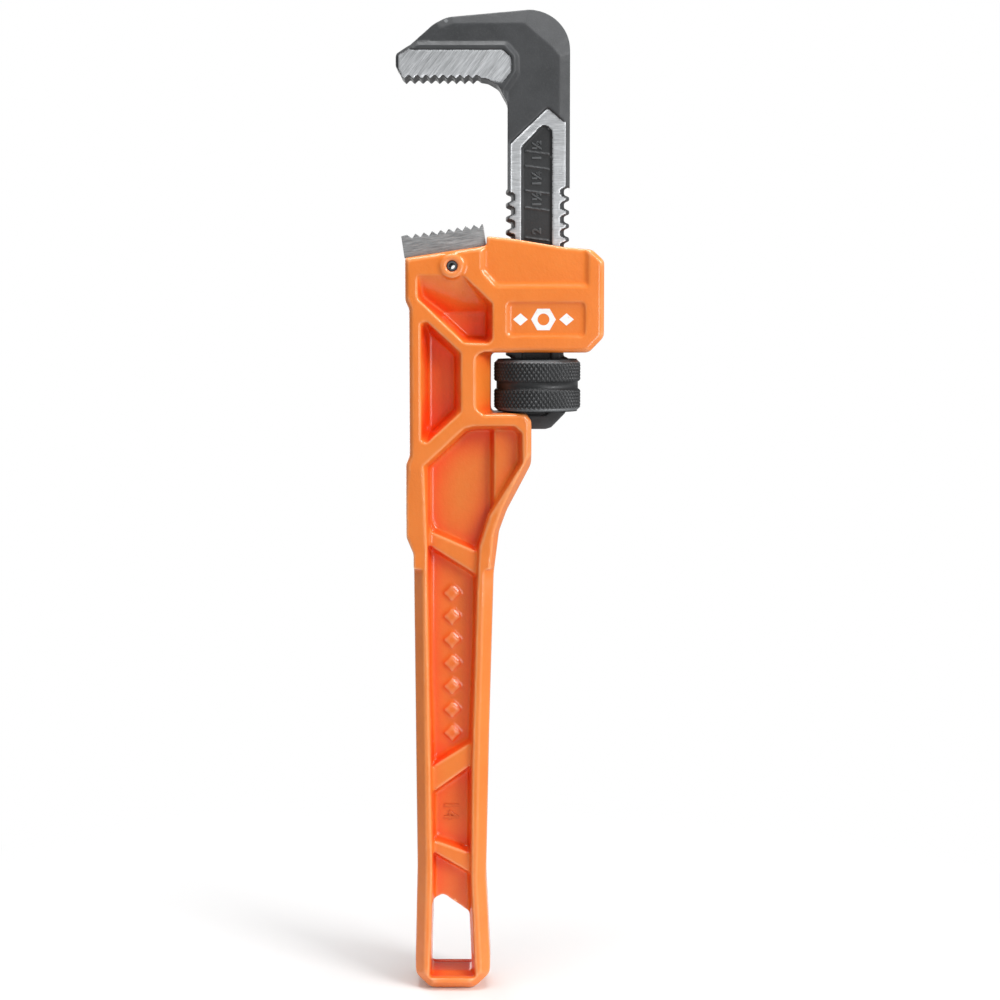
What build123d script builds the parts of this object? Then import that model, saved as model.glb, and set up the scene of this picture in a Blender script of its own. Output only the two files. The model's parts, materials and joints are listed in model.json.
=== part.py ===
"""Straight pipe wrench: handle with its housing, two jaws, adjusting nut, pin and jaw springs.

Millimetres. Front view in the X-Z plane: +Z runs from the end of the handle to the jaws, the jaws
open towards -X, and the front faces -Y. The origin is the centre of the handle's end face.
"""
from build123d import *
import os
from math import cos, radians, sin, tan

# ---- Handle casting ----
GRIP_HALF = 11.0  # half thickness of the grip, across its rims
GRIP_CORE_HALF = 7.4  # half thickness where the grip's outer bevel starts
GRIP_BEVEL = 43.0  # slope of the outer bevel, degrees from the side face
HEAD_HALF = 13.5  # half thickness of the head and the housing
HEAD_CORE_HALF = 12.3
HEAD_BEVEL = 45.0
WEB_HALF = 4.5  # half thickness of the web at the bottom of the pockets
RIB_HALF = 8.6  # half thickness across the grip's ribs
DRAFT = 20.0  # draft of the grip's cast pocket walls, degrees
HEAD_DRAFT = 15.0  # draft of the head's pockets
THROAT_LOW = 162.0  # the head thickens between these two heights
THROAT_HIGH = 192.0

# ---- Housing, window and ledge ----
HOUSING_TOP_LEFT = 275.3
HOUSING_BOTTOM = 234.0
HOUSING_RIGHT = 54.6
WINDOW_WALL = 14.2  # left wall of the nut's window
LEDGE_TOP = 212.4
LEDGE_RIGHT = 28.8
TUNNEL_HALF = 7.4  # half the tunnel's depth, front to back
TUNNEL_RIGHT = 42.95
TUNNEL_LEFT_LOW = 18.2  # the tunnel's rear wall leans back, to let the shank rock
TUNNEL_LEFT_HIGH = 15.9
SLOT_HALF = 5.6  # half the slot in the ledge that the shank's end passes through
SLOT_LEFT = 18.8
SCOOP_WIDTH = 5.6  # scoop for the thumb, in the window's left wall

# ---- Heel jaw ----
SEAT_ANGLE = 8.46  # the heel jaw's seat rises towards the shank
SEAT_X = -16.6  # outer end of the seat
SEAT_Z = 267.6
HEEL_LENGTH = 29.5
HEEL_HALF = 8.0
HEEL_BODY = 6.6  # from the seat to the bottom of the teeth
TOOTH_PITCH = 3.02
TOOTH_DEPTH = 1.5
TONGUE_HALF = 4.0
PIN_X = 0.5
PIN_Z = 264.7
PIN_RADIUS = 1.97
PIN_BORE = 1.05
PIN_SLIT = 0.35

# ---- Shank, its thread and the nut ----
AXIS_X = 31.0  # axis of the thread and the nut
THREAD_PITCH = 4.83
THREAD_RADIUS = 11.45
THREAD_ROOT = 9.58
SHANK_HALF = 5.0
SHANK_BOTTOM = 206.3
THREAD_TOP = 291.5  # the highest groove ends about here
GROOVE_BOTTOM_WIDTH = 1.95
GROOVE_TOP_WIDTH = 3.6
NUT_RADIUS = 15.7
NUT_BOTTOM = 212.8
NUT_HEIGHT = 18.8
NUT_GROOVE_RADIUS = 14.75
NUT_GROOVE_WIDTH = 2.9
NUT_BORE = 11.95
NUT_RIDGE_RADIUS = 10.1

# ---- Hook ----
WEB_FACE_HALF = 6.0  # the hook's flat web
BLOCK_HALF = 7.0  # ground sides of the tooth block
LIP_HALF = 7.5  # cast lip above the ground sides
HOOK_BEVEL = 66.0  # slope of the bevel round the hook's back, degrees from the outer edge
HOOK_TOP = 355.6
HOOK_RIGHT = 42.5
HOOK_TEETH_Z = 330.7
HOOK_TEETH_LEFT = -16.4
SCALE_DEPTH = 1.0  # the graduated panel is sunk this far into the shank's face
SCALE_LINE_RISE = 0.45
SCALE_LINES = (306.1, 300.8, 292.1, 286.1, 275.4)

# ---- Jaw springs ----
FLAT_SPRING_RIGHT = 19.3
FLAT_SPRING_THICKNESS = 0.7
FLAT_SPRING_HALF = 4.0
FLAT_SPRING_LOW = 234.6
FLAT_SPRING_HIGH = 270.5
COIL_Z = 261.6
COIL_RADIUS = 3.2  # to the centre of the wire
COIL_WIRE = 0.45  # wire radius
COIL_TURNS = 4
POCKET_RADIUS = 4.4
POCKET_END = 8.6


def outline(points):
    """A closed face in the X-Z plane. A point is (x, z), or (x, z, corner radius)."""
    corners = [(p[0], p[1]) for p in points]
    radii = [p[2] if len(p) > 2 else 0 for p in points]
    return Plane.XZ * make_face(FilletPolyline(*corners, radius=radii, close=True))


def slab(face, half):
    """The face made into a plate that is centred on the mid-plane."""
    return extrude(face, half, both=True)


def front_block(face, shallow, deep, taper=0.0):
    """A block on the front side that narrows inwards, from half thickness shallow to deep."""
    return extrude(Pos(0, -shallow, 0) * face, shallow - deep, dir=(0, 1, 0), taper=taper)


def front_boss(face, low, high, taper=0.0):
    """A block on the front side that narrows outwards, from half thickness low to high."""
    return extrude(Pos(0, -low, 0) * face, high - low, dir=(0, -1, 0), taper=taper)


def both_sides(shape):
    """The shape and its mirror image behind the mid-plane."""
    return [shape, mirror(shape, about=Plane.XZ)]


def along_y(x, z, radius, half):
    """A cylinder across the wrench, centred on the mid-plane."""
    return Pos(x, 0, z) * Rot(90, 0, 0) * Cylinder(radius, 2 * half)


# ---------------------------------------------------------------- handle
def grip_face():
    return outline([
        (-13.7, 178), (-13.7, 158, 60), (-12.8, 46, 60), (-13.6, 12, 20), (-13.6, 5.4, 4), (-8.0, 0, 4),
        (8.0, 0, 4), (13.9, 5.6, 4), (13.9, 11, 20), (12.4, 42, 60), (13.5, 95, 80), (15.2, 154, 40),
        (17.5, 172), (17.5, 178),
    ])


def seat_height(x):
    """Height of the heel jaw's sloping seat."""
    return SEAT_Z + (x - SEAT_X) * tan(radians(SEAT_ANGLE))


def head_face():
    return outline([
        (-13.7, 156), (-13.7, 161.5), (-16.2, 167.5, 2), (-16.2, 194, 2), (-14.9, 197, 2),
        (-14.9, 249.5, 1.5), (-16.3, 252.5, 1.5), (-16.3, seat_height(-16.3)),
        (12.75, seat_height(12.75)), (12.75, HOUSING_TOP_LEFT),
        (22.0, 274.4, 20), (40.4, 271.4, 15), (50.2, 270.6, 3), (HOUSING_RIGHT, 266.6, 2),
        (HOUSING_RIGHT, 239.6, 3), (49.2, HOUSING_BOTTOM, 2.5), (WINDOW_WALL, HOUSING_BOTTOM, 1.8),
        (WINDOW_WALL, LEDGE_TOP, 1.6), (26.9, LEDGE_TOP, 1.6), (LEDGE_RIGHT, 209.6, 2), (LEDGE_RIGHT, 194, 6),
        (25.2, 187), (20.0, 177.2, 12), (16.6, 168, 12), (15.4, 158), (15.2, 156),
    ])


def throat_envelope():
    """Everything but the corner right of the throat: tapered, it bevels the throat's curved edge."""
    return outline([
        (-60, 130), (-60, 330), (110, 330), (110, 197), (30.6, 197), (25.2, 187), (20.0, 177.2, 12),
        (16.6, 168, 12), (15.2, 154), (14.6, 130),
    ])


def trough_face():
    """Inner edge of the rim that runs round the throat and the grip."""
    return outline([
        (-9.8, 193.6), (4.5, 206.9), (8.3, 208.0), (22.9, 208.0), (25.6, 205.4), (25.8, 194.6),
        (14.4, 175.0), (11.2, 164.0), (10.4, 148), (8.5, 84), (8.1, 44), (9.0, 20), (9.7, 3.6), (-9.6, 3.6),
        (-8.9, 20), (-8.3, 44), (-8.9, 84), (-9.8, 150),
    ])


def grip_bays():
    """The deep bays between the grip's slanting ribs, from the throat down to the hang hole."""
    return [
        outline([(-9.3, 193.4), (4.7, 206.4), (8.3, 207.5), (15.6, 207.5), (15.6, 176.6), (11.0, 165),
                 (9.6, 161.7), (-7.0, 168.9), (-9.3, 173)]),
        outline([(-9.2, 165.4), (9.4, 153.8), (9.2, 130), (7.6, 92.1), (-8.0, 82.4), (-9.2, 120)]),
        outline([(-7.8, 73.5), (7.4, 84.3), (7.2, 50.5), (-7.8, 55.9)]),
        outline([(-7.8, 52.2), (7.2, 43.6), (7.2, 40), (8.2, 20), (9.0, 3.9), (-8.9, 3.9), (-8.2, 20),
                 (-7.7, 42)]),
    ]


def hang_hole():
    return outline([
        (-7.3, 32.6, 2.4), (-3.4, 34.5, 2.0), (6.2, 27.8, 1.6), (7.1, 5.6, 0.6), (-7.8, 5.6, 0.8),
    ])


def head_pockets():
    """The two deep pockets in the head, under the heel jaw and beside the window."""
    upper = outline([(-11.8, 261.4), (-11.8, 253.2), (4.8, 237.4), (13.6, 237.2), (14.9, 238.6),
                     (14.9, 251.4), (4.4, 261.4)])
    lower = outline([(-10.7, 244.6), (-8.7, 245.2), (3.6, 234.0), (3.6, 212.8), (-8.7, 201.6),
                     (-10.7, 202.2)])
    ramp = extrude(Plane.YZ * make_face(Polyline(
        (-HEAD_HALF - 0.1, 261.8), (-WEB_HALF + 0.1, 248.0), (-WEB_HALF + 0.1, 230), (-HEAD_HALF - 0.1, 230),
        close=True)), 40, both=True)
    upper_cut, lower_cut = [front_block(face, HEAD_HALF, WEB_HALF, HEAD_DRAFT) for face in (upper, lower)]
    return [upper_cut & ramp, lower_cut]


def housing_recesses():
    """The upper part of the housing's face stands back, and a plate panel is sunk in the lower part."""
    upper = outline([(10.6, 262.8), (15.8, 257.0), (49.4, 257.0), (49.4, 290), (10.6, 290)])
    panel = outline([(20, 252.0, 2), (48.0, 252.0, 2), (48.0, 239.6, 2), (20, 239.6, 2)])
    return [
        front_block(upper, HEAD_HALF + 0.2, HEAD_HALF - 1.1, 50),
        front_block(panel, HEAD_HALF, HEAD_HALF - 0.8, 30),
    ]


def window_bevels():
    """A scoop beside the nut and a bevel on the ledge, which make room for finger and thumb."""
    scoop = extrude(Plane.XY * make_face(Polyline(
        (WINDOW_WALL - SCOOP_WIDTH, -HEAD_HALF - 0.1), (WINDOW_WALL + 1, -HEAD_HALF - 0.1),
        (WINDOW_WALL + 1, -5.6), close=True)), 60)
    edge = WINDOW_WALL - SCOOP_WIDTH
    span = outline([(edge, LEDGE_TOP - 0.2, 4), (edge, HOUSING_BOTTOM + 0.3, 4), (40, HOUSING_BOTTOM + 0.3),
                    (40, LEDGE_TOP - 0.2)])
    lower = extrude(Plane.YZ * make_face(Polyline(
        (-HEAD_HALF - 1, LEDGE_TOP - 2.2), (-HEAD_HALF - 1, LEDGE_TOP + 1), (-HEAD_HALF + 2.2, LEDGE_TOP + 1),
        close=True)), LEDGE_RIGHT - WINDOW_WALL + 8)
    return [(Pos(0, 0, 190) * scoop) & slab(span, HEAD_HALF + 1), Pos(WINDOW_WALL - 3, 0, 0) * lower]


def shank_tunnel():
    """Through the housing. Its rear wall leans back, so that the shank can rock."""
    lean = (TUNNEL_LEFT_LOW - TUNNEL_LEFT_HIGH) / (HOUSING_TOP_LEFT - HOUSING_BOTTOM)
    below, above = HOUSING_BOTTOM - 2, HOUSING_TOP_LEFT + 4
    face = outline([
        (TUNNEL_LEFT_LOW + 2 * lean, below), (TUNNEL_LEFT_HIGH - 4 * lean, above),
        (TUNNEL_RIGHT, above), (TUNNEL_RIGHT, below),
    ])
    return slab(face, TUNNEL_HALF)


def coil_pocket():
    length = TUNNEL_LEFT_LOW + 1 - POCKET_END
    return Pos(POCKET_END + length / 2, 0, COIL_Z) * Rot(0, 90, 0) * Cylinder(POCKET_RADIUS, length)


def ledge_slot():
    face = outline([(SLOT_LEFT, 150), (SLOT_LEFT, LEDGE_TOP + 1), (LEDGE_RIGHT + 5, LEDGE_TOP + 1),
                    (LEDGE_RIGHT + 5, 150)])
    return slab(face, SLOT_HALF)


def panel_lozenges():
    """A plain cast pattern of raised lozenges down the long bay of the grip."""
    count, top, step = 7, 146.5, 8.6
    wide, tall = 3.6, 3.6
    raised = []
    for i in range(count):
        z = top - i * step
        face = outline([(-wide, z), (0, z + tall), (wide, z), (0, z - tall)])
        raised.append(front_boss(face, WEB_HALF - 0.5, WEB_HALF + 0.9, 20))
    return raised


def make_handle():
    grip = grip_face()
    grip_bevelled = slab(grip, GRIP_CORE_HALF)
    for side in both_sides(front_boss(grip, GRIP_CORE_HALF, GRIP_HALF, GRIP_BEVEL)):
        grip_bevelled += side
    head = head_face()
    head_solid = slab(head, HEAD_CORE_HALF)
    for side in both_sides(front_boss(head, HEAD_CORE_HALF, HEAD_HALF, HEAD_BEVEL)):
        head_solid += side
    profile = make_face(Polyline(
        (-HEAD_HALF, 300), (-HEAD_HALF, THROAT_HIGH), (-GRIP_HALF, THROAT_LOW), (-GRIP_HALF, 140),
        (GRIP_HALF, 140), (GRIP_HALF, THROAT_LOW), (HEAD_HALF, THROAT_HIGH), (HEAD_HALF, 300), close=True))
    head_solid = head_solid & extrude(Plane.YZ * profile, 80, both=True)
    envelope = throat_envelope()
    throat = slab(envelope, GRIP_CORE_HALF)
    for side in both_sides(front_boss(envelope, GRIP_CORE_HALF, HEAD_HALF + 0.5, 22)):
        throat += side
    handle = grip_bevelled + (head_solid & throat)

    cuts = [front_block(trough_face(), HEAD_HALF, RIB_HALF, DRAFT)]
    cuts += [front_block(face, RIB_HALF + 0.3, WEB_HALF, DRAFT) for face in grip_bays()]
    cuts += head_pockets() + housing_recesses() + window_bevels()
    for cut in cuts:
        for side in both_sides(cut):
            handle -= side
    for boss in both_sides(front_boss(outline_circle(PIN_X, PIN_Z, 4.9), HEAD_HALF - 2, HEAD_HALF + 0.7, 15)):
        handle += boss
    for lozenge in panel_lozenges():
        handle += lozenge
    handle -= [slab(hang_hole(), HEAD_HALF), shank_tunnel(), coil_pocket(), ledge_slot()]
    handle -= tongue_slot()
    handle -= along_y(PIN_X, PIN_Z, PIN_RADIUS + 0.03, HEAD_HALF + 2)
    return handle


def outline_circle(x, z, radius):
    return Plane.XZ * Pos(x, z) * Circle(radius).face()


# ---------------------------------------------------------------- heel jaw and pin
def on_seat(u, v):
    """A point u along the heel jaw's seat and v above it."""
    a = radians(SEAT_ANGLE)
    return (SEAT_X + u * cos(a) - v * sin(a), SEAT_Z + u * sin(a) + v * cos(a))


def tongue_slot():
    a, b, c, d = on_seat(9.6, 2), on_seat(25.2, 2), (7.6, 259.6), (-6.6, 259.6)
    return slab(outline([a, b, c, d]), TONGUE_HALF + 0.1)


def make_heel_jaw():
    first, teeth, tip = 2.1, 9, HEEL_BODY + TOOTH_DEPTH
    points = [on_seat(0, 0), on_seat(0, tip - 0.2)]
    for i in range(teeth):
        u = first + i * TOOTH_PITCH
        points += [on_seat(u, tip), on_seat(u + 0.56 * TOOTH_PITCH, HEEL_BODY)]
    points += [on_seat(first + teeth * TOOTH_PITCH, tip), on_seat(HEEL_LENGTH, tip - 0.4)]
    points += [on_seat(HEEL_LENGTH, 0)]
    block = slab(outline(points), HEEL_HALF)
    tongue = slab(outline([on_seat(9.9, 1), on_seat(24.9, 1), (7.2, 260.0), (-6.2, 260.0)]), TONGUE_HALF)
    return block + tongue - along_y(PIN_X, PIN_Z, PIN_RADIUS + 0.03, HEEL_HALF)


def make_heel_jaw_pin():
    half = HEAD_HALF + 0.4
    pin = along_y(PIN_X, PIN_Z, PIN_RADIUS, half)
    pin = chamfer(pin.edges().filter_by(GeomType.CIRCLE), 0.35)
    pin -= along_y(PIN_X, PIN_Z, PIN_BORE, half + 1)
    slit = Pos(PIN_RADIUS, 0, 0) * Box(2 * PIN_RADIUS, 2 * half + 2, PIN_SLIT)
    slit = Pos(PIN_X, 0, PIN_Z) * Rot(0, 130, 0) * slit
    return pin - slit


# ---------------------------------------------------------------- hook jaw
def hook_face():
    valleys = [(HOOK_TEETH_LEFT - 1.5, HOOK_TEETH_Z + TOOTH_DEPTH)]
    for i in range(9):
        x = HOOK_TEETH_LEFT + i * TOOTH_PITCH
        valleys += [(x, HOOK_TEETH_Z), (x + TOOTH_PITCH / 2, HOOK_TEETH_Z + TOOTH_DEPTH)]
    return outline(
        [(20.2, 291.0), (20.2, 322.6, 4), (17.0, 328.6, 4), (13.2, 330.7, 2), (10.7, 331.1)]
        + valleys[::-1]
        + [(-17.9, 333.0), (-19.6, 335.4, 1.5), (-19.6, 339.8, 2), (-15.6, 342.4, 4), (-6.3, 350.4, 9),
           (-1.6, 352.9, 9), (HOOK_RIGHT, HOOK_TOP + 1.5, 14), (HOOK_RIGHT, 291.0)]
    )


def hook_bevel_envelope():
    """A block that narrows outwards from the hook's mid-plane, and so bevels the hook's back."""
    back = outline([
        (-30.0, 317.4), (-3.6, 348.7), (0.9, 350.4), (26.2, 350.6), (36.4, 342.0), (38.8, 339.0),
        (38.8, 230), (-30, 230),
    ])
    return extrude(Pos(0, -WEB_FACE_HALF, 0) * back, WEB_FACE_HALF, dir=(0, 1, 0), taper=-HOOK_BEVEL)


def tooth_block_face():
    """Outline of the forging's thicker block round the teeth."""
    return outline([
        (-19.6, 339.8), (-15.6, 342.4), (-12.0, 344.3), (20.0, 344.3, 3), (24.2, 339.5, 3), (24.4, 333.0, 4),
        (20.2, 326.6), (20.2, 300), (-19.6, 300),
    ])


def ground_face():
    """Ground side of the tooth block, just inside the block's lip."""
    return outline([
        (-18.9, 300), (-18.9, 339.2), (-15.4, 341.6), (18.8, 341.6, 2.5), (21.9, 338.6, 2), (21.9, 333.2, 2),
        (18.6, 329.3, 2), (12.9, 330.2), (12.9, 300),
    ])


def thread_groove(start_angle, turn):
    """A stretch of the thread's groove round the axis, wide at the outside, at height zero."""
    outer, inner = THREAD_RADIUS + 0.6, THREAD_ROOT
    slope = (GROOVE_TOP_WIDTH - GROOVE_BOTTOM_WIDTH) / (THREAD_RADIUS - THREAD_ROOT)
    low, high = GROOVE_BOTTOM_WIDTH / 2, (GROOVE_BOTTOM_WIDTH + slope * (outer - inner)) / 2
    path = Helix(THREAD_PITCH, THREAD_PITCH * turn, inner)
    section = Plane.XZ * make_face(Polyline(
        (inner, -low), (outer, -high), (outer, high), (inner, low), close=True))
    return Rot(0, 0, start_angle) * sweep(section, path, is_frenet=True)


def shank_grooves():
    """Every groove on the shank's two edges. Each is a short stretch of the same helix."""
    half_turn = 36 / 360
    right = Pos(AXIS_X, 0, -half_turn * THREAD_PITCH) * thread_groove(-36, 2 * half_turn)
    left = Pos(AXIS_X, 0, (0.5 - half_turn) * THREAD_PITCH) * thread_groove(180 - 36, 2 * half_turn)
    turns = int((THREAD_TOP - SHANK_BOTTOM) / THREAD_PITCH) + 2
    base = THREAD_TOP - turns * THREAD_PITCH
    lefts = [Pos(0, 0, base + i * THREAD_PITCH) * left for i in range(turns)]
    return lefts + [Pos(0, 0, base + i * THREAD_PITCH) * right for i in range(turns + 1)]


def shank_end_cut():
    """The shank's lower end is cut off at a slant on its right side."""
    return slab(outline([(34.0, 200), (34.0, SHANK_BOTTOM), (36.0, SHANK_BOTTOM + 0.6), (43.5, 214.6),
                         (60, 214.6), (60, 200)]), 20)


def scale_panel_face():
    return outline([
        (25.4, 211.2), (25.4, 307.2, 2), (33.3, 315.4, 2), (36.0, 312.9, 2), (36.0, 213.0, 1),
        (33.9, 211.2, 1),
    ])


def scale_lines():
    """Raised graduations on the sunk panel, on both faces."""
    lines = []
    for z in SCALE_LINES:
        face = outline([(26.4, z), (35.2, z - 1.2), (35.2, z - 1.7), (26.4, z - 0.5)])
        panel = SHANK_HALF - SCALE_DEPTH
        lines += both_sides(front_boss(face, panel - 0.4, panel + SCALE_LINE_RISE, 10))
    return lines


def make_hook_jaw():
    rim = hook_face()
    half_web = hook_bevel_envelope() & slab(rim, HEAD_HALF)
    head = half_web + mirror(half_web, about=Plane.XZ)
    block = tooth_block_face()
    head += slab(block, WEB_FACE_HALF) & slab(rim, HEAD_HALF)
    for side in both_sides(front_boss(block, WEB_FACE_HALF, LIP_HALF, 45)):
        head += side & slab(rim, HEAD_HALF)
    ground = front_block(ground_face(), LIP_HALF + 1, BLOCK_HALF)
    for side in both_sides(ground):
        head -= side
    arrow = front_block(outline([
        (21.0, 280), (21.0, 308.6, 1.5), (34.5, 321.4, 1.2), (41.1, 315.8, 2.5), (41.1, 280)]),
        LIP_HALF + 1, SHANK_HALF)
    for side in both_sides(arrow):
        head -= side
    bar = Pos(AXIS_X, 0, (SHANK_BOTTOM + 292) / 2) * Cylinder(THREAD_RADIUS, 292 - SHANK_BOTTOM)
    bar = bar & Pos(AXIS_X, 0, 250) * Box(40, 2 * SHANK_HALF, 120)
    jaw = head + bar - shank_end_cut()
    for side in both_sides(front_block(scale_panel_face(), SHANK_HALF + 1, SHANK_HALF - SCALE_DEPTH)):
        jaw -= side
    for line in scale_lines():
        jaw += line
    jaw -= shank_grooves()
    return jaw


# ---------------------------------------------------------------- nut
def make_adjusting_nut():
    middle = NUT_BOTTOM + NUT_HEIGHT / 2
    nut = Pos(AXIS_X, 0, middle) * Cylinder(NUT_RADIUS, NUT_HEIGHT)
    nut = chamfer(nut.edges().filter_by(GeomType.CIRCLE), 1.1)
    ring = Cylinder(NUT_RADIUS + 2, NUT_GROOVE_WIDTH) - Cylinder(NUT_GROOVE_RADIUS, NUT_GROOVE_WIDTH)
    nut -= Pos(AXIS_X, 0, middle) * ring
    nut -= Pos(AXIS_X, 0, middle) * Cylinder(NUT_BORE, NUT_HEIGHT + 2)
    ridge = nut_ridge() & Pos(AXIS_X, 0, middle) * Cylinder(NUT_RADIUS - 2, NUT_HEIGHT)
    return nut + ridge


def nut_ridge():
    """Internal thread: one ridge that fills the shank's groove with play all round."""
    turns = int(NUT_HEIGHT / THREAD_PITCH) + 3
    low, high = 0.78, 1.62
    outer = NUT_BORE + 0.5
    path = Helix(THREAD_PITCH, THREAD_PITCH * turns, NUT_RIDGE_RADIUS)
    section = Plane.XZ * make_face(Polyline(
        (NUT_RIDGE_RADIUS, -low), (outer, -high), (outer, high), (NUT_RIDGE_RADIUS, low), close=True))
    ridge = sweep(section, path, is_frenet=True)
    steps = int((THREAD_TOP - NUT_BOTTOM) / THREAD_PITCH) + 2
    return Pos(AXIS_X, 0, THREAD_TOP - steps * THREAD_PITCH) * ridge


# ---------------------------------------------------------------- jaw springs
def make_flat_spring():
    left = FLAT_SPRING_RIGHT - FLAT_SPRING_THICKNESS
    strip = outline([
        (left, FLAT_SPRING_LOW), (left, FLAT_SPRING_HIGH), (FLAT_SPRING_RIGHT, FLAT_SPRING_HIGH),
        (FLAT_SPRING_RIGHT, FLAT_SPRING_LOW),
    ])
    hole = Pos(FLAT_SPRING_RIGHT, 0, COIL_Z) * Rot(0, 90, 0) * Cylinder(1.0, 4)
    return slab(strip, FLAT_SPRING_HALF) - hole


def make_spring_rivet():
    left = FLAT_SPRING_RIGHT - FLAT_SPRING_THICKNESS
    shank = Pos((left + FLAT_SPRING_RIGHT) / 2 - 0.05, 0, COIL_Z) * Rot(0, 90, 0) * Cylinder(0.98, 0.6)
    head = Pos(left - 0.5, 0, COIL_Z) * Rot(0, 90, 0) * Cylinder(2.5, 1.0)
    return shank + chamfer(head.edges().filter_by(GeomType.CIRCLE).sort_by(Axis.X)[0], 0.4)


def make_coil_spring():
    """Rests on the rivet's side of the flat spring, with its other end in the housing's pocket."""
    left = FLAT_SPRING_RIGHT - FLAT_SPRING_THICKNESS
    length = left - 0.02 - (POCKET_END + 1.9)
    pitch = (length - 2 * COIL_WIRE) / COIL_TURNS
    path = Helix(pitch, pitch * COIL_TURNS, COIL_RADIUS)
    wire = sweep(Plane(path @ 0, z_dir=path % 0) * Circle(COIL_WIRE), path, is_frenet=True)
    return Pos(POCKET_END + 1.9 + COIL_WIRE, 0, COIL_Z) * Rot(0, 90, 0) * wire


PARTS = {
    "handle": make_handle,
    "heel_jaw": make_heel_jaw,
    "heel_jaw_pin": make_heel_jaw_pin,
    "hook_jaw": make_hook_jaw,
    "adjusting_nut": make_adjusting_nut,
    "flat_spring": make_flat_spring,
    "spring_rivet": make_spring_rivet,
    "coil_spring": make_coil_spring,
}

os.makedirs("parts", exist_ok=True)
for name, make in PARTS.items():
    export_step(make(), f"parts/{name}.step")
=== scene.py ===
"""Pipe wrench: the visible surfaces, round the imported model. Metres, in the model's own frame."""

import json
import math

import bmesh
import bpy
import numpy as np
from mathutils import Matrix, Vector


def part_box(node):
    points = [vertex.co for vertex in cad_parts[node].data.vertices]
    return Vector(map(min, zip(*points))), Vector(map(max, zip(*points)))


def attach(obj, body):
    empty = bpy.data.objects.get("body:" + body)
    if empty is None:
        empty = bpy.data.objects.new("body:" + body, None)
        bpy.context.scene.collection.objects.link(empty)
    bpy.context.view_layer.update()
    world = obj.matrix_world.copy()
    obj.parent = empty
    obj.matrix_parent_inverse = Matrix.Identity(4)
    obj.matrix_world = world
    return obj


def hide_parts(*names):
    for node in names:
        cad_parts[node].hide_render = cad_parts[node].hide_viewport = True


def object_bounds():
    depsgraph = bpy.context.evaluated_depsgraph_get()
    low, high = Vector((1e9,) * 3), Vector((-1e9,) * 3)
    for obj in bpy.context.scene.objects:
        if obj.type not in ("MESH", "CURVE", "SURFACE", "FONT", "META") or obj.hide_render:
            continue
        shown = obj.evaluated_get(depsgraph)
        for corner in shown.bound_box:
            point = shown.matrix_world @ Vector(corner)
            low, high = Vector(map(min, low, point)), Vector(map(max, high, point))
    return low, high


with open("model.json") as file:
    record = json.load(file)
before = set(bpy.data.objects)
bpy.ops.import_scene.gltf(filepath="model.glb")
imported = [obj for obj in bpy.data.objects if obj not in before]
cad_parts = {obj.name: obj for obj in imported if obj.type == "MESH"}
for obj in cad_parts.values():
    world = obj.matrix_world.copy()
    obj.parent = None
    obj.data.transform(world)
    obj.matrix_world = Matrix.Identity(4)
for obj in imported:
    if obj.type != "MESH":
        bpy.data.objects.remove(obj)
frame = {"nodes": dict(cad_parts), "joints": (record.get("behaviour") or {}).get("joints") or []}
cad_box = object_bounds()
joints = {joint["name"]: joint for joint in frame["joints"]}

MM = 0.001
FRONT, BACK = -1, 1  # the side's sign along Y

# Distances of faces from the mid-plane
PANEL_FLOOR = 4.0 * MM  # the shank's sunk panel
SHANK_FACE = 5.0 * MM
BLOCK_FACE = 7.0 * MM  # the sides of the hook's tooth block
GRIP_WEB = 4.5 * MM  # the web between the grip's ribs
PRINT_FACE = 12.72 * MM  # just outside the housing's sunk band
FIGURE_LIFT = 0.10 * MM  # the middle of raised figures above the face they stand on

# The adjusting nut and its knurl
NUT_X = joints["nut_spin"]["pos_m"][0]
NUT_END_INSET = 1.5 * MM  # how much smaller the radius is at the nut's ends
NUT_GROOVE_DEPTH = 0.90 * MM
NUT_SHELL_BORE = 12.6 * MM  # inner radius of the knurled shell
NUT_CAD_OUTSIDE = 12.5 * MM  # faces of the CAD nut beyond this radius give way to the shell
DIAMONDS = 58  # knurl diamonds round the nut
DIAMOND_HEIGHT = 2.35 * MM
KNURL_DEPTH = 0.50 * MM
POINTS_PER_DIAMOND = 9
STEPS_PER_BAND = 26


# ---------------------------------------------------------------- mesh helpers
def link(name, data):
    obj = bpy.data.objects.new(name, data)
    bpy.context.collection.objects.link(obj)
    return obj


def apply_modifiers(obj):
    graph = bpy.context.evaluated_depsgraph_get()
    mesh = bpy.data.meshes.new_from_object(obj.evaluated_get(graph))
    obj.modifiers.clear()
    old = obj.data
    obj.data = mesh
    bpy.data.meshes.remove(old)


def welded_copy(node, name):
    """A copy of a CAD node's mesh with its split vertices joined."""
    mesh = frame["nodes"][node].data.copy()
    mesh.materials.clear()
    bm = bmesh.new()
    bm.from_mesh(mesh)
    bmesh.ops.remove_doubles(bm, verts=bm.verts, dist=2e-6)
    bm.to_mesh(mesh)
    bm.free()
    for layer in list(mesh.uv_layers):
        mesh.uv_layers.remove(layer)
    return link(name, mesh)


def shade_smooth(mesh):
    mesh.polygons.foreach_set("use_smooth", [True] * len(mesh.polygons))


def soften_cast(obj, voxel, passes, faces):
    """Rounds every edge a little, as casting and thick paint do. About this many faces are left."""
    remesh = obj.modifiers.new("remesh", "REMESH")
    remesh.mode = "VOXEL"
    remesh.voxel_size = voxel
    smooth = obj.modifiers.new("smooth", "SMOOTH")
    smooth.factor = 0.5
    smooth.iterations = passes
    apply_modifiers(obj)
    thin = obj.modifiers.new("thin", "DECIMATE")
    thin.ratio = min(1.0, faces / (2 * len(obj.data.polygons)))
    apply_modifiers(obj)
    shade_smooth(obj.data)
    return obj


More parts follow.
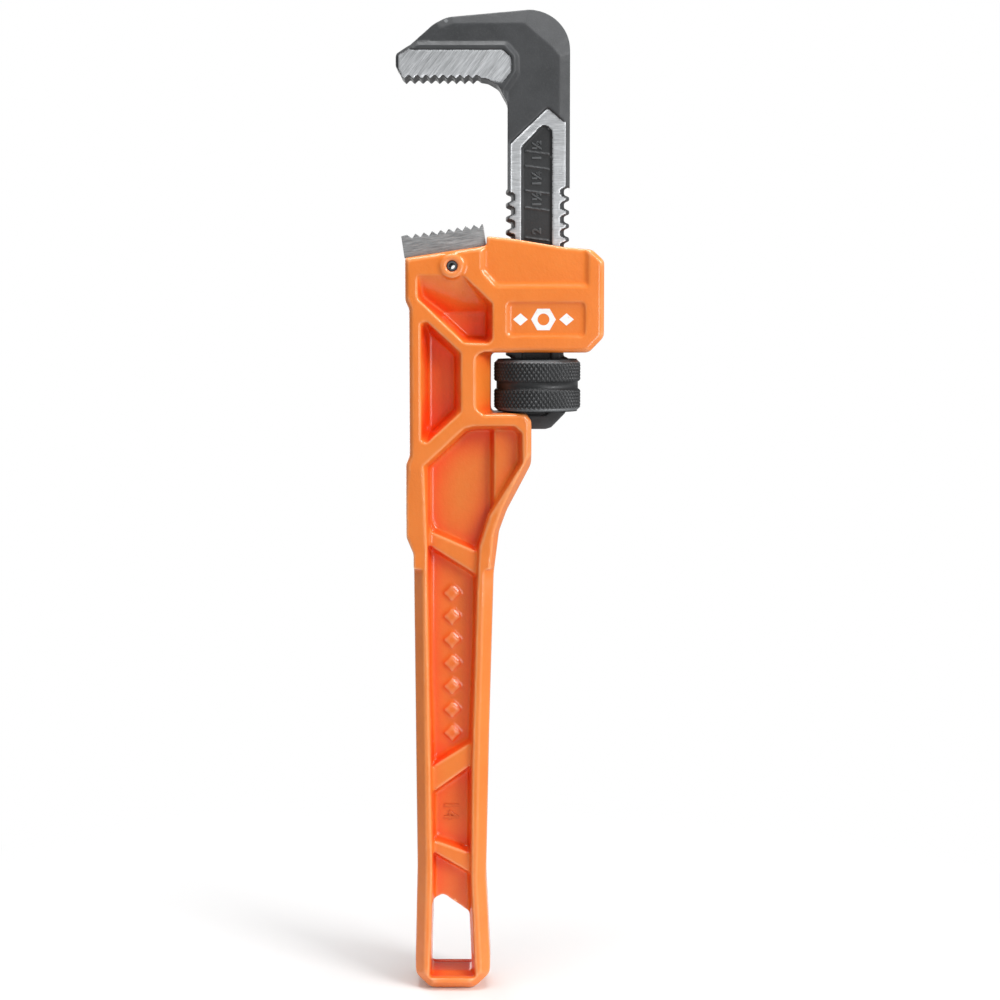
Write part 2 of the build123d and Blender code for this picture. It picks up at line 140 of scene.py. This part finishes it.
def fine_bevel(obj, width):
    """Breaks the sharp edges by a hair, as deburring does."""
    bevel = obj.modifiers.new("bevel", "BEVEL")
    bevel.limit_method = "ANGLE"
    bevel.angle_limit = math.radians(28)
    bevel.width = width
    bevel.segments = 2
    bevel.harden_normals = True


def paint_faces(mesh, rule):
    """Gives each face the material number that rule(centre, normal) returns."""
    for face in mesh.polygons:
        face.material_index = rule(face.center, face.normal)


# ---------------------------------------------------------------- materials
class Shader:
    """One procedural material round a Principled BSDF, with object coordinates in metres."""

    def __init__(self, name):
        self.material = bpy.data.materials.new(name)
        self.material.use_nodes = True
        self.tree = self.material.node_tree
        self.bsdf = next(n for n in self.tree.nodes if n.type == "BSDF_PRINCIPLED")
        self.coords = self.add("ShaderNodeTexCoord").outputs["Object"]

    def add(self, kind, **settings):
        node = self.tree.nodes.new(kind)
        for key, value in settings.items():
            setattr(node, key, value)
        return node

    def join(self, source, target):
        self.tree.links.new(source, target)

    def constant(self, socket, value):
        self.bsdf.inputs[socket].default_value = value

    def noise(self, size, detail=3.0, stretch=(1, 1, 1), turn=(0, 0, 0)):
        """Noise with features of about this size in metres, longer along stretched axes."""
        turned = self.add("ShaderNodeMapping")
        turned.inputs["Rotation"].default_value = turn
        self.join(self.coords, turned.inputs["Vector"])
        mapping = self.add("ShaderNodeMapping")
        mapping.inputs["Scale"].default_value = [1 / s for s in stretch]
        self.join(turned.outputs["Vector"], mapping.inputs["Vector"])
        noise = self.add("ShaderNodeTexNoise")
        noise.inputs["Scale"].default_value = 1 / size
        noise.inputs["Detail"].default_value = detail
        noise.inputs["Roughness"].default_value = 0.55
        self.join(mapping.outputs["Vector"], noise.inputs["Vector"])
        return noise.outputs["Fac"]

    def remap(self, source, low, high, out_low, out_high):
        node = self.add("ShaderNodeMapRange")
        node.inputs["From Min"].default_value = low
        node.inputs["From Max"].default_value = high
        node.inputs["To Min"].default_value = out_low
        node.inputs["To Max"].default_value = out_high
        self.join(source, node.inputs["Value"])
        return node.outputs["Result"]

    def mix(self, factor, first, second):
        """Mixes two colours, each an output or an (r, g, b) value."""
        node = self.add("ShaderNodeMix", data_type="RGBA")
        self.join(factor, node.inputs["Factor"])
        for value, socket in ((first, node.inputs[6]), (second, node.inputs[7])):
            if isinstance(value, tuple):
                socket.default_value = (*value, 1)
            else:
                self.join(value, socket)
        return node.outputs[2]

    def bump(self, height, distance, strength, under=None):
        node = self.add("ShaderNodeBump")
        node.inputs["Strength"].default_value = strength
        node.inputs["Distance"].default_value = distance
        self.join(height, node.inputs["Height"])
        if under is not None:
            self.join(under, node.inputs["Normal"])
        return node.outputs["Normal"]

    def edges(self, low, high):
        """1 on convex edges, 0 on flats and in corners."""
        point = self.add("ShaderNodeNewGeometry").outputs["Pointiness"]
        return self.remap(point, low, high, 0, 1)

    def recesses(self, distance, open_at, deep_at):
        """1 in deep recesses of the piece itself, 0 on its open faces."""
        node = self.add("ShaderNodeAmbientOcclusion", samples=8, only_local=True)
        node.inputs["Distance"].default_value = distance
        return self.remap(node.outputs["AO"], deep_at, open_at, 1, 0)

    def finish(self, colour, roughness, normal=None):
        self.join(colour, self.bsdf.inputs["Base Color"])
        self.join(roughness, self.bsdf.inputs["Roughness"])
        if normal is not None:
            self.join(normal, self.bsdf.inputs["Normal"])
        return self.material


def enamel(name, low, high, wear_and_highlight):
    """Glossy orange enamel over an as-cast surface. It is darker and redder in the recesses: painted
    shade.

    It is paler on convex edges, between the two values of Pointiness given for them: a painted
    highlight, with the paint also thinner there.
    """
    s = Shader(name)
    tone = s.mix(s.remap(s.noise(0.018, 3), 0.35, 0.65, 0, 1), low, high)
    tone = s.mix(s.remap(s.noise(0.0016, 2), 0.52, 0.75, 0, 0.30), tone, (0.78, 0.24, 0.042))
    # Darker and redder in the piece's own recesses: painted shade.
    tone = s.mix(s.recesses(12 * MM, 0.97, 0.54), tone, (0.84, 0.060, 0.005))
    # Paler on convex edges: painted highlight, with the paint also thinner there.
    tone = s.mix(s.edges(*wear_and_highlight), tone, (0.95, 0.46, 0.22))
    cast = s.bump(s.noise(0.0030, 3), 0.00020, 0.45)
    peel = s.bump(s.noise(0.0009, 2), 0.00009, 0.7, under=cast)
    s.constant("Coat Weight", 0.6)
    s.constant("Coat Roughness", 0.10)
    s.constant("Specular IOR Level", 0.2)
    return s.finish(tone, s.remap(s.noise(0.004, 3), 0.3, 0.7, 0.30, 0.42), peel)


def scaled(level, colour):
    return tuple(level * c for c in colour)


def forging(name, level):
    """Dark oxide on a blasted forging. The level is 1 on open faces; a lower level makes a darker
    copy, painted shade for sunk faces.
    """
    s = Shader(name)
    low = scaled(level, (0.034, 0.036, 0.038))
    high = scaled(level, (0.049, 0.051, 0.054))
    speck = scaled(level, (0.062, 0.065, 0.068))
    tone = s.mix(s.remap(s.noise(0.010, 4), 0.3, 0.7, 0, 1), low, high)
    tone = s.mix(s.remap(s.noise(0.0007, 2), 0.5, 0.8, 0, 0.5), tone, speck)
    # Darker in the piece's own recesses: painted shade.
    tone = s.mix(s.recesses(4 * MM, 0.90, 0.40), tone, (0.014, 0.014, 0.015))
    # Paler on convex edges: painted highlight.
    tone = s.mix(s.edges(0.515, 0.60), tone, (0.14, 0.147, 0.152))
    grain = s.bump(s.noise(0.0006, 3), 0.00006, 0.6)
    s.constant("Specular IOR Level", 0.38)
    return s.finish(tone, s.remap(s.noise(0.003, 3), 0.3, 0.7, 0.44, 0.56), grain)


def ground_steel(name, turn, dark, light, streak=0.0035):
    """Bright ground steel. Its scratches run along X, turned by an angle in the X-Z plane."""
    s = Shader(name)
    rotation = (0, turn, 0)
    scratch_width = 0.00030
    fine = s.noise(scratch_width, 3, stretch=(streak / scratch_width, 1, 1), turn=rotation)
    broad = s.noise(0.0011, 4, stretch=(9, 1, 1), turn=rotation)
    tone = s.mix(s.remap(fine, 0.32, 0.68, 0, 1), dark, light)
    tone = s.mix(s.remap(broad, 0.56, 0.80, 0, 0.45), tone, scaled(0.62, dark))
    brushed = s.bump(fine, 0.00004, 0.8)
    s.constant("Metallic", 0.85)
    return s.finish(tone, s.remap(broad, 0.3, 0.7, 0.30, 0.46), brushed)


def black_oxide():
    """Black oxide with a trace of oil."""
    s = Shader("black_oxide_steel")
    low, high = (0.019, 0.020, 0.021), (0.031, 0.032, 0.034)
    tone = s.mix(s.remap(s.noise(0.004, 4), 0.3, 0.7, 0, 1), low, high)
    # Paler on convex edges: painted highlight.
    tone = s.mix(s.edges(0.53, 0.66), tone, (0.13, 0.135, 0.14))
    grain = s.bump(s.noise(0.0004, 3), 0.00003, 0.5)
    s.constant("Metallic", 0.3)
    return s.finish(tone, s.remap(s.noise(0.002, 3), 0.3, 0.7, 0.40, 0.52), grain)


def spring_steel():
    """Blued spring steel with drawing marks."""
    s = Shader("blued_spring_steel")
    drawn = s.noise(0.0002, 3, stretch=(1, 1, 12))
    tone = s.mix(s.remap(drawn, 0.3, 0.7, 0, 1), (0.12, 0.13, 0.16), (0.28, 0.29, 0.32))
    s.constant("Metallic", 0.9)
    return s.finish(tone, s.remap(drawn, 0.3, 0.7, 0.28, 0.42), s.bump(drawn, 0.00002, 0.5))


def white_print():
    """Pad-printed white ink, a little worn."""
    s = Shader("white_ink")
    wear_and_highlight = s.remap(s.noise(0.0012, 4), 0.62, 0.80, 0, 0.6)
    tone = s.mix(wear_and_highlight, (0.86, 0.86, 0.85), (0.88, 0.40, 0.20))
    roughness = s.remap(s.noise(0.002, 2), 0.3, 0.7, 0.35, 0.5)
    grain = s.bump(s.noise(0.0008), 0.00002, 0.4)
    return s.finish(tone, roughness, grain)


# ---------------------------------------------------------------- pieces
def make_handle(paint):
    obj = soften_cast(welded_copy("handle", "handle_casting"), 0.50 * MM, 9, 190_000)
    obj.data.materials.append(paint)
    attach(obj, "handle_body")
    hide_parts("handle")


def make_hook(dark, block, shank, panel):
    """The forging is dark; the tooth block's sides and the shank's upper faces are ground bright.
    Lower down, the shank's faces keep the dark finish and the sunk panel a darker one: painted shade.
    """
    obj = soften_cast(welded_copy("hook_jaw", "hook_forging"), 0.34 * MM, 2, 190_000)
    low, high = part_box("hook_jaw")
    block_bottom = high.z - 28 * MM
    block_right = low.x + 42.5 * MM
    bright_bottom = low.z + 34 * MM  # below it the shank's faces keep the dark forging finish: painted shade, where the nut and housing shade them
    panel_limit = PANEL_FLOOR + 0.7 * MM  # takes in the graduations that stand on the panel
    near = 0.05 * MM

    def rule(centre, normal):
        if abs(normal.y) < 0.95:
            return 0
        off = abs(centre.y)
        in_block = centre.z > block_bottom and centre.x < block_right
        if in_block and abs(off - BLOCK_FACE) < near:
            return 1
        # The sunk panel takes the darker copy of the forging finish: painted shade.
        if off < panel_limit:
            return 3
        # Ground bright only above bright_bottom; the dark finish lower down is painted shade.
        if centre.z > bright_bottom and abs(off - SHANK_FACE) < near:
            return 2
        return 0

    paint_faces(obj.data, rule)
    for material in (dark, block, shank, panel):
        obj.data.materials.append(material)
    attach(obj, "hook")
    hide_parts("hook_jaw")


def make_heel_jaw(ground):
    obj = welded_copy("heel_jaw", "heel_jaw_block")
    obj.data.materials.append(ground)
    fine_bevel(obj, 0.16 * MM)
    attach(obj, "handle_body")
    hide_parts("heel_jaw")


def knurl_height(around, along):
    """Raised diamonds, from 0 in the grooves to 1 at the points. Both inputs count diamonds."""
    ridge_a = 1 - np.abs(((around + along) % 1) * 2 - 1)
    ridge_b = 1 - np.abs(((around - along) % 1) * 2 - 1)
    return np.clip(np.minimum(ridge_a, ridge_b) * 1.5, 0, 1)


def knurled_profile(low, high):
    """The nut's outer side as (height, radius, knurl share) from bottom to top."""
    radius = high.x - NUT_X
    edge, groove, lead = 1.0 * MM, 2.9 * MM, 0.45 * MM
    wall = 0.02 * MM  # the groove's sides lean out by this much
    root = radius - KNURL_DEPTH
    groove_floor = radius - NUT_GROOVE_DEPTH
    middle = low.z + (high.z - low.z) / 2

    def band(start, end):
        rows = []
        for i in range(STEPS_PER_BAND + 1):
            z = start + i / STEPS_PER_BAND * (end - start)
            fade = min(1.0, (z - start) / lead, (end - z) / lead)
            rows.append((z, root, max(0.0, fade)))
        return rows

    groove_bottom, groove_top = middle - groove / 2, middle + groove / 2
    return [
        (low.z, radius - NUT_END_INSET, 0.0),
        (low.z + edge, root, 0.0),
        *band(low.z + edge, groove_bottom),
        (groove_bottom + wall, groove_floor, 0.0),
        (groove_top - wall, groove_floor, 0.0),
        *band(groove_top, high.z - edge),
        (high.z - edge, root, 0.0),
        (high.z, radius - NUT_END_INSET, 0.0),
    ]


def make_nut(black):
    """The outer side is remade with its knurl; the CAD nut keeps the threaded bore inside it."""
    low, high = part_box("adjusting_nut")
    rows = knurled_profile(low, high)
    around = DIAMONDS * POINTS_PER_DIAMOND
    angles = np.arange(around) / around * 2 * math.pi
    points, faces = [], []
    for z, radius, share in rows:
        raised = knurl_height(angles / (2 * math.pi) * DIAMONDS, (z - low.z) / DIAMOND_HEIGHT)
        radii = radius + KNURL_DEPTH * share * raised
        points += [(NUT_X + r * math.cos(a), r * math.sin(a), z) for r, a in zip(radii, angles)]
    for z in (high.z, low.z):
        points += [(NUT_X + NUT_SHELL_BORE * math.cos(a), NUT_SHELL_BORE * math.sin(a), z)
                   for a in angles]
    rings = len(rows) + 2
    for ring in range(rings):
        here, after = ring * around, (ring + 1) % rings * around
        for i in range(around):
            j = (i + 1) % around
            faces.append((here + i, here + j, after + j, after + i))
    mesh = bpy.data.meshes.new("nut_knurl")
    mesh.from_pydata(points, [], faces)
    mesh.update()
    shell = link("adjusting_nut_shell", mesh)

    inner = welded_copy("adjusting_nut", "nut_thread")
    bm = bmesh.new()
    bm.from_mesh(inner.data)
    outside = [f for f in bm.faces
               if min(math.hypot(v.co.x - NUT_X, v.co.y) for v in f.verts) > NUT_CAD_OUTSIDE]
    bmesh.ops.delete(bm, geom=outside, context="FACES")
    bm.to_mesh(inner.data)
    bm.free()
    for piece in (shell, inner):
        shade_smooth(piece.data)
        piece.data.materials.append(black)
        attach(piece, "nut")
    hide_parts("adjusting_nut")


def piece_from_curve(name, curve, matrix, material, body):
    """Turns a curve at this place into a mesh piece that rides on the body."""
    obj = link(name, curve)
    obj.matrix_world = matrix
    bpy.context.view_layer.update()
    graph = bpy.context.evaluated_depsgraph_get()
    mesh = bpy.data.meshes.new_from_object(obj.evaluated_get(graph))
    mesh.transform(obj.matrix_world)
    bpy.data.objects.remove(obj)
    mesh.materials.clear()
    mesh.materials.append(material)
    piece = link(name, mesh)
    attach(piece, body)


def text_piece(name, words, size, place, material, side, reading, body):
    """Raised figures on the front or the back. They read up the wrench for 1 and down it for -1."""
    curve = bpy.data.curves.new(name, "FONT")
    curve.body = words
    curve.size = size
    curve.extrude = 0.05 * size
    curve.offset = 0.018 * size
    curve.bevel_depth = 0.05 * MM
    curve.bevel_resolution = 1
    curve.align_x = "CENTER"
    curve.align_y = "CENTER"
    curve.resolution_u = 4
    facing = Matrix.Rotation(0 if side == FRONT else math.pi, 4, "Z")
    upright = facing @ Matrix.Rotation(math.pi / 2, 4, "X")
    turn = Matrix.Rotation(reading * math.pi / 2, 4, "Z")
    piece_from_curve(name, curve, Matrix.Translation(place) @ upright @ turn, material, body)


def make_numerals(steel, paint):
    """Pipe sizes in inches beside the graduations, and the wrench's length on the grip."""
    figures = (("half", "½", 308.0), ("one", "1", 303.4), ("one_and_a_quarter", "1¼", 296.2),
               ("one_and_a_half", "1½", 288.8), ("two", "2", 277.4))
    for side, label in ((FRONT, "front"), (BACK, "back")):
        for name, words, height in figures:
            place = Vector((NUT_X - 0.2 * MM, side * (PANEL_FLOOR + FIGURE_LIFT), height * MM))
            # The figures on the panel take its darker forging copy: painted shade.
            text_piece(f"numeral_{name}_{label}", words, 4.4 * MM, place, steel, side, 1,
                       "hook")
    place = Vector((-0.6 * MM, FRONT * (GRIP_WEB + FIGURE_LIFT), 66 * MM))
    # Its paint is the darker, redder recess copy of the enamel: painted shade.
    text_piece("cast_length_figure", "14", 7.2 * MM, place, paint, FRONT, -1,
               "handle_body")


def flat_print(name, loops, y, ink):
    """A thin mark printed on the housing at y. Its loops of (x, z) are closed, inner ones cut out."""
    curve = bpy.data.curves.new(name, "CURVE")
    curve.dimensions = "2D"
    curve.fill_mode = "BOTH"
    curve.extrude = 0.03 * MM
    for loop in loops:
        spline = curve.splines.new("POLY")
        spline.points.add(len(loop) - 1)
        for point, (x, z) in zip(spline.points, loop):
            point.co = (x, z, 0, 1)
        spline.use_cyclic_u = True
    matrix = Matrix.Translation((0, y, 0)) @ Matrix.Rotation(math.pi / 2, 4, "X")
    piece_from_curve(name, curve, matrix, ink, "handle_body")


def polygon(x, z, radius, sides):
    turns = [2 * math.pi * i / sides for i in range(sides)]
    return [(x + radius * math.cos(turn), z + radius * math.sin(turn)) for turn in turns]


def make_prints(ink):
    """A generic mark in place of the maker's: a hexagon nut between two lozenges."""
    x, z = 33.0 * MM, 245.8 * MM
    corners = ((-2.6, 0), (0, 2.2), (2.6, 0), (0, -2.2))
    for side, label in ((FRONT, "front"), (BACK, "back")):
        face = side * PRINT_FACE
        hexagon, hole = polygon(x, z, 4.4 * MM, 6), polygon(x, z, 2.1 * MM, 28)
        flat_print(f"printed_nut_{label}", [hexagon, hole], face, ink)
        for step, number in ((-8.2, 1), (8.2, 2)):
            lozenge = [(x + (step + dx) * MM, z + dz * MM) for dx, dz in corners]
            flat_print(f"printed_lozenge_{number}_{label}", [lozenge], face, ink)


def dress_small_parts(black, spring):
    """The pin and the springs are the CAD nodes themselves, with a finish of their own."""
    for name, material in (("heel_jaw_pin", black), ("flat_spring", spring),
                           ("spring_rivet", spring), ("coil_spring", spring)):
        obj = frame["nodes"][name]
        obj.data.materials.clear()
        obj.data.materials.append(material)


# ---------------------------------------------------------------- studio
def area_light(name, place, aim, size, watts):
    data = bpy.data.lights.new(name, "AREA")
    data.shape = "RECTANGLE"
    data.size, data.size_y = size
    data.energy = watts
    light = link(name, data)
    light.location = place
    light.rotation_mode = "QUATERNION"
    light.rotation_quaternion = (aim - Vector(place)).to_track_quat("-Z", "Y")


def studio_floor(z):
    """A pale floor that fades to the white of the background, which is dimmer as a light."""
    half = 8.0
    corners = [(-half, -half, z), (half, -half, z), (half, half, z), (-half, half, z)]
    mesh = bpy.data.meshes.new("floor")
    mesh.from_pydata(corners, [], [(0, 1, 2, 3)])
    floor = link("studio_floor", mesh)
    s = Shader("pale_floor")
    low, high = (0.86, 0.86, 0.86), (0.90, 0.90, 0.90)
    tone = s.mix(s.remap(s.noise(0.8, 2), 0.3, 0.7, 0, 1), low, high)
    s.finish(tone, s.remap(s.noise(0.5, 2), 0.3, 0.7, 0.55, 0.65))
    distance = s.add("ShaderNodeVectorMath", operation="LENGTH")
    s.join(s.coords, distance.inputs[0])
    far = s.remap(distance.outputs["Value"], 0.05, 0.28, 0, 1)
    white = s.add("ShaderNodeEmission")
    seen = s.add("ShaderNodeLightPath").outputs["Is Camera Ray"]
    s.join(s.remap(seen, 0, 1, 0.50, 1.0), white.inputs["Strength"])
    blend = s.add("ShaderNodeMixShader")
    s.join(far, blend.inputs[0])
    s.join(s.bsdf.outputs[0], blend.inputs[1])
    s.join(white.outputs[0], blend.inputs[2])
    output = next(n for n in s.tree.nodes if n.type == "OUTPUT_MATERIAL")
    s.join(blend.outputs[0], output.inputs["Surface"])
    mesh.materials.append(s.material)


def studio_world():
    """White where the camera sees it, and dimmer as a light, so that pockets keep their shade."""
    world = bpy.data.worlds.new("studio_world")
    world.use_nodes = True
    tree = world.node_tree
    background = next(n for n in tree.nodes if n.type == "BACKGROUND")
    path = tree.nodes.new("ShaderNodeLightPath")
    level = tree.nodes.new("ShaderNodeMapRange")
    level.inputs["To Min"].default_value = 0.24
    level.inputs["To Max"].default_value = 1.0
    tree.links.new(path.outputs["Is Camera Ray"], level.inputs["Value"])
    tree.links.new(level.outputs["Result"], background.inputs["Strength"])
    background.inputs["Color"].default_value = (1, 1, 1, 1)
    bpy.context.scene.world = world


def make_studio():
    low, high = cad_box
    middle = (low + high) / 2
    studio_floor(low.z)
    studio_world()
    upper, lower = middle + Vector((0, 0, 0.05)), middle - Vector((0, 0, 0.08))
    area_light("key", (0.76, -0.68, 0.78), upper, (0.40, 0.40), 8.6)
    area_light("fill", (0.30, -0.85, 0.05), lower, (0.30, 0.5), 2.8)
    area_light("top", (0.02, -0.09, 0.95), upper, (0.50, 0.30), 5.5)
    area_light("rim_right", (0.80, -0.14, 0.30), middle, (0.55, 0.9), 2.2)
    area_light("rim_left", (-0.80, 0.00, 0.35), middle, (0.25, 0.9), 0.2)
    area_light("back_fill", (-0.45, 0.80, 0.45), middle, (0.6, 0.9), 3.5)

    data = bpy.data.cameras.new("camera")
    data.sensor_width = 36.0
    data.lens = 68.3
    data.shift_y = -0.0225
    camera = link("camera", data)
    camera.location = (middle.x + 2 * MM, -0.69, 0.245)
    camera.rotation_mode = "QUATERNION"
    aim = middle + Vector((0, 0, 0.0105))
    camera.rotation_quaternion = (aim - camera.location).to_track_quat("-Z", "Y")
    bpy.context.scene.camera = camera
    bpy.context.scene.view_settings.view_transform = "Standard"


paint = enamel(
    "orange_enamel", (0.79, 0.196, 0.025), (0.83, 0.216, 0.031), wear_and_highlight=(0.506, 0.56))
# A darker, redder copy of the enamel for the raised 14 in the grip's recess: painted shade.
recess_shade_paint = enamel(
    "orange_enamel_recess_shade", (0.68, 0.105, 0.012), (0.72, 0.120, 0.016), wear_and_highlight=(0.60, 1.20))
black = black_oxide()
dark = forging("dark_forging", 1.0)
# A darker copy of the forging finish for the sunk panel and its figures: painted shade.
panel = forging("dark_forging_panel_shade", 0.6)
block = ground_steel(
    "ground_steel_diagonal", math.radians(52), (0.46, 0.475, 0.49), (0.78, 0.80, 0.82), 0.006)
shank = ground_steel(
    "ground_steel_level", 0, (0.44, 0.453, 0.466), (0.66, 0.677, 0.694))
heel = ground_steel(
    "ground_steel_heel", math.radians(8.5), (0.255, 0.26, 0.264), (0.476, 0.485, 0.49))

make_handle(paint)
make_hook(dark, block, shank, panel)
make_heel_jaw(heel)
make_nut(black)
make_numerals(panel, recess_shade_paint)
make_prints(white_print())
dress_small_parts(black, spring_steel())
make_studio()
